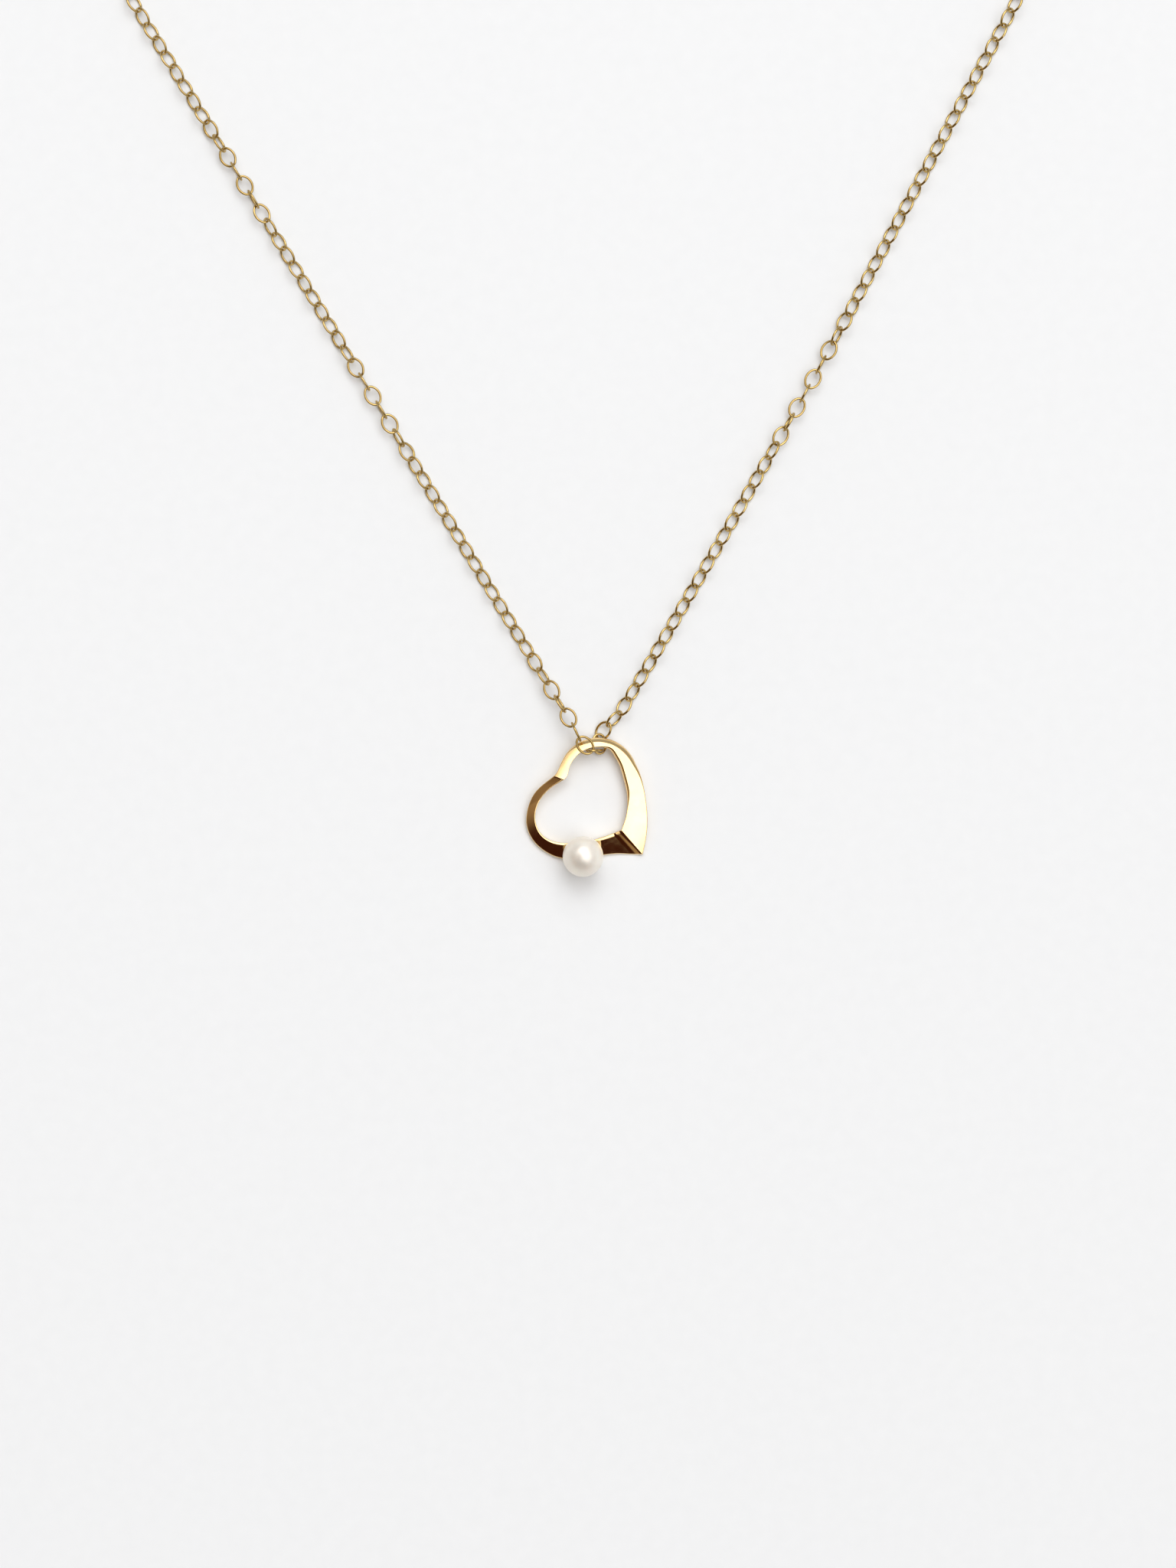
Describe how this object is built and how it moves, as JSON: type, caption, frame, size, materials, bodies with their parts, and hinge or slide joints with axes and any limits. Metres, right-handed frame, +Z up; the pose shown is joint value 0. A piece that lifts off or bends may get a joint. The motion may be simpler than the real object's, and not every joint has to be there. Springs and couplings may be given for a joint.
{
  "type": "pendant necklace",
  "caption": "Open heart pendant with a round pearl, strung on a fine oval-link chain with a spring ring clasp, lying flat and unfastened.",
  "frame": {"origin": "on the surface the necklace lies on, below the middle of its bounding box", "axes": "+Z up from the surface, out of the heart's front; +Y from the heart along the chain's two arms towards the clasp; +X to the right, seen from the front"},
  "size_m": [0.1264, 0.1884, 0.0048],
  "materials": {
    "polished_gold": "polished",
    "pearl": "pearl lustre",
    "clear_glue": "clear",
    "spring_steel": "drawn wire"
  },
  "bodies": {
    "middle_link": {"hanger_link_middle": "polished_gold"},
    "heart": {"heart_frame": "polished_gold", "pearl": "pearl", "pearl_post": "polished_gold", "pearl_cup": "polished_gold", "pearl_adhesive": "clear_glue"},
    "front_link": {"hanger_link_front": "polished_gold"},
    "back_link": {"hanger_link_back": "polished_gold"},
    "clasp_jump_ring": {"clasp_jump_ring": "polished_gold"},
    "clasp": {"clasp_ring": "polished_gold", "clasp_eye": "polished_gold", "clasp_spring": "spring_steel"},
    "clasp_trigger": {"clasp_trigger": "polished_gold"},
    "end_jump_ring": {"end_jump_ring": "polished_gold"},
    "end_tag": {"end_tag": "polished_gold"},
    "left_chain_01": {"left_chain_01": "polished_gold"},
    "left_chain_02": {"left_chain_02": "polished_gold"},
    "left_chain_03": {"left_chain_03": "polished_gold"},
    "left_chain_04": {"left_chain_04": "polished_gold"},
    "left_chain_05": {"left_chain_05": "polished_gold"},
    "left_chain_06": {"left_chain_06": "polished_gold"},
    "left_chain_07": {"left_chain_07": "polished_gold"},
    "left_chain_08": {"left_chain_08": "polished_gold"},
    "left_chain_09": {"left_chain_09": "polished_gold"},
    "left_chain_10": {"left_chain_10": "polished_gold"},
    "left_chain_11": {"left_chain_11": "polished_gold"},
    "left_chain_12": {"left_chain_12": "polished_gold"},
    "left_chain_13": {"left_chain_13": "polished_gold"},
    "left_chain_14": {"left_chain_14": "polished_gold"},
    "left_chain_15": {"left_chain_15": "polished_gold"},
    "left_chain_16": {"left_chain_16": "polished_gold"},
    "left_chain_17": {"left_chain_17": "polished_gold"},
    "left_chain_18": {"left_chain_18": "polished_gold"},
    "left_chain_19": {"left_chain_19": "polished_gold"},
    "left_chain_20": {"left_chain_20": "polished_gold"},
    "left_chain_21": {"left_chain_21": "polished_gold"},
    "right_chain_01": {"right_chain_01": "polished_gold"},
    "right_chain_02": {"right_chain_02": "polished_gold"},
    "right_chain_03": {"right_chain_03": "polished_gold"},
    "right_chain_04": {"right_chain_04": "polished_gold"},
    "right_chain_05": {"right_chain_05": "polished_gold"},
    "right_chain_06": {"right_chain_06": "polished_gold"},
    "right_chain_07": {"right_chain_07": "polished_gold"},
    "right_chain_08": {"right_chain_08": "polished_gold"},
    "right_chain_09": {"right_chain_09": "polished_gold"},
    "right_chain_10": {"right_chain_10": "polished_gold"},
    "right_chain_11": {"right_chain_11": "polished_gold"},
    "right_chain_12": {"right_chain_12": "polished_gold"},
    "right_chain_13": {"right_chain_13": "polished_gold"},
    "right_chain_14": {"right_chain_14": "polished_gold"},
    "right_chain_15": {"right_chain_15": "polished_gold"},
    "right_chain_16": {"right_chain_16": "polished_gold"},
    "right_chain_17": {"right_chain_17": "polished_gold"},
    "right_chain_18": {"right_chain_18": "polished_gold"},
    "right_chain_19": {"right_chain_19": "polished_gold"},
    "right_chain_20": {"right_chain_20": "polished_gold"},
    "right_chain_21": {"right_chain_21": "polished_gold"}
  },
  "joints": [
    {"name": "clasp_open", "type": "hinge", "parent": "clasp", "child": "clasp_trigger", "pos_m": [-0.00521, 0.09114, 0.00055], "axis": [0, 0, 1], "range_deg": [-48, 0], "stiffness_Nm_per_rad": 0.0015, "deforming": ["clasp_spring"]},
    {"name": "heart_band_swing", "type": "hinge", "parent": "middle_link", "child": "heart", "pos_m": [0.00297, -0.08441, 0.00056], "axis": [0, -0.0698, 0.9976], "range_deg": [-36, 6]},
    {"name": "heart_link_back_swing", "type": "hinge", "parent": "middle_link", "child": "back_link", "pos_m": [0.00311, -0.0818, 0.0003], "axis": [0, 0, 1], "range_deg": [-8, 0]},
    {"name": "heart_link_front_swing", "type": "hinge", "parent": "middle_link", "child": "front_link", "pos_m": [0.00213, -0.08186, 0.00195], "axis": [0, 0, 1], "range_deg": [0, 30]},
    {"name": "clasp_swing", "type": "hinge", "parent": "left_chain_21", "child": "clasp_jump_ring", "pos_m": [-0.01042, 0.09106, 0.00084], "axis": [0, 0, 1], "range_deg": [-45, 45]},
    {"name": "clasp_tilt", "type": "hinge", "parent": "clasp_jump_ring", "child": "clasp", "pos_m": [-0.00896, 0.09109, 0.00084], "axis": [0.0156, -0.9999, 0], "range_deg": [-45, 45]},
    {"name": "end_ring_swing", "type": "hinge", "parent": "right_chain_21", "child": "end_jump_ring", "pos_m": [0.00923, 0.09267, 0.00084], "axis": [0.0152, 0.9999, 0], "range_deg": [-45, 45]},
    {"name": "end_tag_swing", "type": "hinge", "parent": "end_jump_ring", "child": "end_tag", "pos_m": [0.00796, 0.09269, 0.00062], "axis": [-0.5111, 0.0078, 0.8595], "range_deg": [-35, 35]},
    {"name": "left_chain_01_bend", "type": "hinge", "parent": "front_link", "child": "left_chain_01", "pos_m": [0.00104, -0.08061, 0.00214], "axis": [0.7453, 0.6666, 0.0153], "range_deg": [-25, 45]},
    {"name": "left_chain_02_bend", "type": "hinge", "parent": "left_chain_01", "child": "left_chain_02", "pos_m": [-0.00378, -0.0723, 0.00069], "axis": [-0.6617, -0.482, -0.5743], "range_deg": [-45, 45]},
    {"name": "left_chain_03_bend", "type": "hinge", "parent": "left_chain_02", "child": "left_chain_03", "pos_m": [-0.00967, -0.06261, 0.00063], "axis": [-0.6042, -0.3674, 0.7071], "range_deg": [-45, 45]},
    {"name": "left_chain_04_bend", "type": "hinge", "parent": "left_chain_03", "child": "left_chain_04", "pos_m": [-0.01472, -0.05431, 0.00074], "axis": [0.5815, 0.4047, -0.7058], "range_deg": [-45, 45]},
    {"name": "left_chain_05_bend", "type": "hinge", "parent": "left_chain_04", "child": "left_chain_05", "pos_m": [-0.01977, -0.046, 0.00084], "axis": [0.8539, 0.5192, -0.0349], "range_deg": [-45, 45]},
    {"name": "left_chain_06_bend", "type": "hinge", "parent": "left_chain_05", "child": "left_chain_06", "pos_m": [-0.02481, -0.0377, 0.00063], "axis": [-0.6042, -0.3674, -0.7071], "range_deg": [-45, 45]},
    {"name": "left_chain_07_bend", "type": "hinge", "parent": "left_chain_06", "child": "left_chain_07", "pos_m": [-0.0307, -0.02802, 0.00084], "axis": [-0.8076, -0.4917, 0.3256], "range_deg": [-45, 45]},
    {"name": "left_chain_08_bend", "type": "hinge", "parent": "left_chain_07", "child": "left_chain_08", "pos_m": [-0.03743, -0.01695, 0.00063], "axis": [0.6042, 0.3674, 0.7071], "range_deg": [-45, 45]},
    {"name": "left_chain_09_bend", "type": "hinge", "parent": "left_chain_08", "child": "left_chain_09", "pos_m": [-0.04248, -0.00864, 0.00063], "axis": [0.6042, 0.3674, 0.7071], "range_deg": [-45, 45]},
    {"name": "left_chain_10_bend", "type": "hinge", "parent": "left_chain_09", "child": "left_chain_10", "pos_m": [-0.04753, -0.00034, 0.00063], "axis": [-0.6042, -0.3674, -0.7071], "range_deg": [-45, 45]},
    {"name": "left_chain_11_bend", "type": "hinge", "parent": "left_chain_10", "child": "left_chain_11", "pos_m": [-0.05342, 0.00935, 0.00063], "axis": [-0.6042, -0.3674, 0.7071], "range_deg": [-45, 45]},
    {"name": "left_chain_12_bend", "type": "hinge", "parent": "left_chain_11", "child": "left_chain_12", "pos_m": [-0.05811, 0.01786, 0.00063], "axis": [0.6406, 0.2995, -0.7071], "range_deg": [-45, 45]},
    {"name": "left_chain_13_bend", "type": "hinge", "parent": "left_chain_12", "child": "left_chain_13", "pos_m": [-0.06121, 0.02706, 0.00063], "axis": [0.685, 0.1753, -0.7071], "range_deg": [-45, 45]},
    {"name": "left_chain_14_bend", "type": "hinge", "parent": "left_chain_13", "child": "left_chain_14", "pos_m": [-0.06255, 0.03667, 0.00063], "axis": [-0.7057, -0.045, 0.7071], "range_deg": [-45, 45]},
    {"name": "left_chain_15_bend", "type": "hinge", "parent": "left_chain_14", "child": "left_chain_15", "pos_m": [-0.06183, 0.04797, 0.00063], "axis": [-0.6987, 0.1086, -0.7071], "range_deg": [-45, 45]},
    {"name": "left_chain_16_bend", "type": "hinge", "parent": "left_chain_15", "child": "left_chain_16", "pos_m": [-0.05805, 0.06033, 0.00063], "axis": [0.6504, -0.2775, 0.7071], "range_deg": [-45, 45]},
    {"name": "left_chain_17_bend", "type": "hinge", "parent": "left_chain_16", "child": "left_chain_17", "pos_m": [-0.05326, 0.06877, 0.00063], "axis": [0.5875, -0.3935, 0.7071], "range_deg": [-45, 45]},
    {"name": "left_chain_18_bend", "type": "hinge", "parent": "left_chain_17", "child": "left_chain_18", "pos_m": [-0.047, 0.07619, 0.00063], "axis": [-0.5042, 0.4957, -0.7071], "range_deg": [-45, 45]},
    {"name": "left_chain_19_bend", "type": "hinge", "parent": "left_chain_18", "child": "left_chain_19", "pos_m": [-0.0381, 0.08318, 0.00063], "axis": [-0.3851, 0.593, 0.7071], "range_deg": [-45, 45]},
    {"name": "left_chain_20_bend", "type": "hinge", "parent": "left_chain_19", "child": "left_chain_20", "pos_m": [-0.02942, 0.08753, 0.00063], "axis": [0.2683, -0.6542, -0.7071], "range_deg": [-45, 45]},
    {"name": "left_chain_21_bend", "type": "hinge", "parent": "left_chain_20", "child": "left_chain_21", "pos_m": [-0.02038, 0.09013, 0.0008], "axis": [0.1539, -0.911, 0.3827], "range_deg": [-45, 45]},
    {"name": "right_chain_01_bend", "type": "hinge", "parent": "back_link", "child": "right_chain_01", "pos_m": [0.00302, -0.08019, 0.00035], "axis": [-0.9481, -0.0507, 0.3138], "range_deg": [-10, 40]},
    {"name": "right_chain_02_bend", "type": "hinge", "parent": "right_chain_01", "child": "right_chain_02", "pos_m": [0.00851, -0.07244, 0.00063], "axis": [-0.6093, 0.3589, 0.7071], "range_deg": [-45, 45]},
    {"name": "right_chain_03_bend", "type": "hinge", "parent": "right_chain_02", "child": "right_chain_03", "pos_m": [0.0142, -0.06263, 0.00063], "axis": [-0.6121, 0.354, -0.7071], "range_deg": [-45, 45]},
    {"name": "right_chain_04_bend", "type": "hinge", "parent": "right_chain_03", "child": "right_chain_04", "pos_m": [0.01905, -0.05421, 0.00073], "axis": [0.594, -0.3857, 0.706], "range_deg": [-45, 45]},
    {"name": "right_chain_05_bend", "type": "hinge", "parent": "right_chain_04", "child": "right_chain_05", "pos_m": [0.02369, -0.04602, 0.00084], "axis": [0.8741, -0.4852, 0.0233], "range_deg": [-45, 45]},
    {"name": "right_chain_06_bend", "type": "hinge", "parent": "right_chain_05", "child": "right_chain_06", "pos_m": [0.02848, -0.03722, 0.00062], "axis": [-0.6063, 0.3657, 0.7061], "range_deg": [-45, 45]},
    {"name": "right_chain_07_bend", "type": "hinge", "parent": "right_chain_06", "child": "right_chain_07", "pos_m": [0.03383, -0.02722, 0.00063], "axis": [-0.6232, 0.3341, -0.7071], "range_deg": [-45, 45]},
    {"name": "right_chain_08_bend", "type": "hinge", "parent": "right_chain_07", "child": "right_chain_08", "pos_m": [0.03997, -0.01581, 0.00063], "axis": [0.6226, -0.3353, 0.7071], "range_deg": [-45, 45]},
    {"name": "right_chain_09_bend", "type": "hinge", "parent": "right_chain_08", "child": "right_chain_09", "pos_m": [0.04458, -0.00725, 0.00063], "axis": [0.6221, -0.3361, 0.7071], "range_deg": [-45, 45]},
    {"name": "right_chain_10_bend", "type": "hinge", "parent": "right_chain_09", "child": "right_chain_10", "pos_m": [0.04921, 0.0013, 0.00063], "axis": [-0.6216, 0.337, -0.7071], "range_deg": [-45, 45]},
    {"name": "right_chain_11_bend", "type": "hinge", "parent": "right_chain_10", "child": "right_chain_11", "pos_m": [0.05463, 0.01126, 0.00063], "axis": [-0.6211, 0.338, 0.7071], "range_deg": [-45, 45]},
    {"name": "right_chain_12_bend", "type": "hinge", "parent": "right_chain_11", "child": "right_chain_12", "pos_m": [0.05891, 0.01998, 0.00063], "axis": [0.6533, -0.2705, -0.7071], "range_deg": [-45, 45]},
    {"name": "right_chain_13_bend", "type": "hinge", "parent": "right_chain_12", "child": "right_chain_13", "pos_m": [0.06162, 0.0293, 0.00063], "axis": [0.6916, -0.1474, -0.7071], "range_deg": [-45, 45]},
    {"name": "right_chain_14_bend", "type": "hinge", "parent": "right_chain_13", "child": "right_chain_14", "pos_m": [0.0626, 0.03895, 0.00063], "axis": [-0.7068, 0.0193, 0.7071], "range_deg": [-45, 45]},
    {"name": "right_chain_15_bend", "type": "hinge", "parent": "right_chain_14", "child": "right_chain_15", "pos_m": [0.0615, 0.05022, 0.00063], "axis": [-0.6949, -0.1306, -0.7071], "range_deg": [-45, 45]},
    {"name": "right_chain_16_bend", "type": "hinge", "parent": "right_chain_15", "child": "right_chain_16", "pos_m": [0.05736, 0.06247, 0.00063], "axis": [0.6429, 0.2943, 0.7071], "range_deg": [-45, 45]},
    {"name": "right_chain_17_bend", "type": "hinge", "parent": "right_chain_16", "child": "right_chain_17", "pos_m": [0.05238, 0.0708, 0.00063], "axis": [0.5788, 0.4062, 0.7071], "range_deg": [-45, 45]},
    {"name": "right_chain_18_bend", "type": "hinge", "parent": "right_chain_17", "child": "right_chain_18", "pos_m": [0.04597, 0.07809, 0.00063], "axis": [-0.4954, -0.5046, -0.7071], "range_deg": [-45, 45]},
    {"name": "right_chain_19_bend", "type": "hinge", "parent": "right_chain_18", "child": "right_chain_19", "pos_m": [0.03697, 0.08496, 0.00063], "axis": [-0.3775, -0.5979, 0.7071], "range_deg": [-45, 45]},
    {"name": "right_chain_20_bend", "type": "hinge", "parent": "right_chain_19", "child": "right_chain_20", "pos_m": [0.02825, 0.08921, 0.00063], "axis": [0.2626, 0.6565, -0.7071], "range_deg": [-45, 45]},
    {"name": "right_chain_21_bend", "type": "hinge", "parent": "right_chain_20", "child": "right_chain_21", "pos_m": [0.0189, 0.09181, 0.00081], "axis": [0.1698, 0.8747, -0.454], "range_deg": [-45, 45]}
  ]
}
